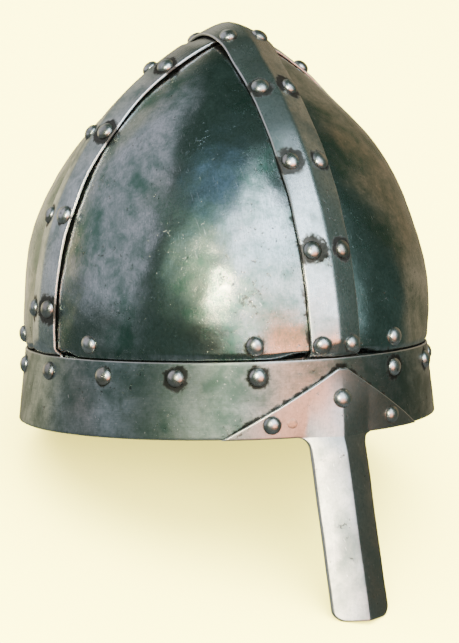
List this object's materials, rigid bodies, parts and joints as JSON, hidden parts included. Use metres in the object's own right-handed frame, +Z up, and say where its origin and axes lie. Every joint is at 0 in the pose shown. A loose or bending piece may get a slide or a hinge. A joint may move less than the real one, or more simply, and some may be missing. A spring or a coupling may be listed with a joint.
{
  "type": "helmet",
  "caption": "Riveted steel spangenhelm: four curved plates under crossed straps, a brow band and a nose guard; lies on the guard's tip and the back of the rim.",
  "frame": {"origin": "middle of the helmet's bounding box, on the surface it lies on", "axes": "+Z up from the surface it lies on; -Y the way the wearer faces; +X towards the wearer's left. The helmet lies leant back by 18.6 degrees about X, on the lower corners of the nose guard and the back of the rim"},
  "size_m": [0.2044, 0.2814, 0.2206],
  "materials": {
    "plate_steel": "polished by hand over dark patina",
    "strap_steel": "polished by hand over dark patina",
    "band_steel": "finely brushed along its length",
    "guard_steel": "polished by hand",
    "rivet_steel": "domed heads, polished"
  },
  "bodies": {
    "root": {"plate_front_left": "plate_steel", "plate_back_left": "plate_steel", "plate_back_right": "plate_steel", "plate_front_right": "plate_steel", "strap_side_to_side": "strap_steel", "strap_front_to_back": "strap_steel", "brow_band": "band_steel", "nose_guard": "guard_steel", "rivet_band_right_1": "rivet_steel", "rivet_band_left_1": "rivet_steel", "rivet_band_right_2": "rivet_steel", "rivet_band_left_2": "rivet_steel", "rivet_band_right_3": "rivet_steel", "rivet_band_left_3": "rivet_steel", "rivet_band_right_4": "rivet_steel", "rivet_band_left_4": "rivet_steel", "rivet_band_right_5": "rivet_steel", "rivet_band_left_5": "rivet_steel", "rivet_band_right_6": "rivet_steel", "rivet_band_left_6": "rivet_steel", "rivet_band_right_7": "rivet_steel", "rivet_band_left_7": "rivet_steel", "rivet_band_back": "rivet_steel", "rivet_guard_top": "rivet_steel", "rivet_guard_right": "rivet_steel", "rivet_guard_left": "rivet_steel", "rivet_front_1a": "rivet_steel", "rivet_front_1b": "rivet_steel", "rivet_front_2a": "rivet_steel", "rivet_front_2b": "rivet_steel", "rivet_front_3a": "rivet_steel", "rivet_front_3b": "rivet_steel", "rivet_front_4a": "rivet_steel", "rivet_front_4b": "rivet_steel", "rivet_back_1a": "rivet_steel", "rivet_back_1b": "rivet_steel", "rivet_back_2a": "rivet_steel", "rivet_back_2b": "rivet_steel", "rivet_back_3a": "rivet_steel", "rivet_back_3b": "rivet_steel", "rivet_back_4a": "rivet_steel", "rivet_back_4b": "rivet_steel", "rivet_right_1a": "rivet_steel", "rivet_right_1b": "rivet_steel", "rivet_right_2a": "rivet_steel", "rivet_right_2b": "rivet_steel", "rivet_right_3a": "rivet_steel", "rivet_right_3b": "rivet_steel", "rivet_right_4a": "rivet_steel", "rivet_right_4b": "rivet_steel", "rivet_left_1a": "rivet_steel", "rivet_left_1b": "rivet_steel", "rivet_left_2a": "rivet_steel", "rivet_left_2b": "rivet_steel", "rivet_left_3a": "rivet_steel", "rivet_left_3b": "rivet_steel", "rivet_left_4a": "rivet_steel", "rivet_left_4b": "rivet_steel"}
  },
  "joints": []
}
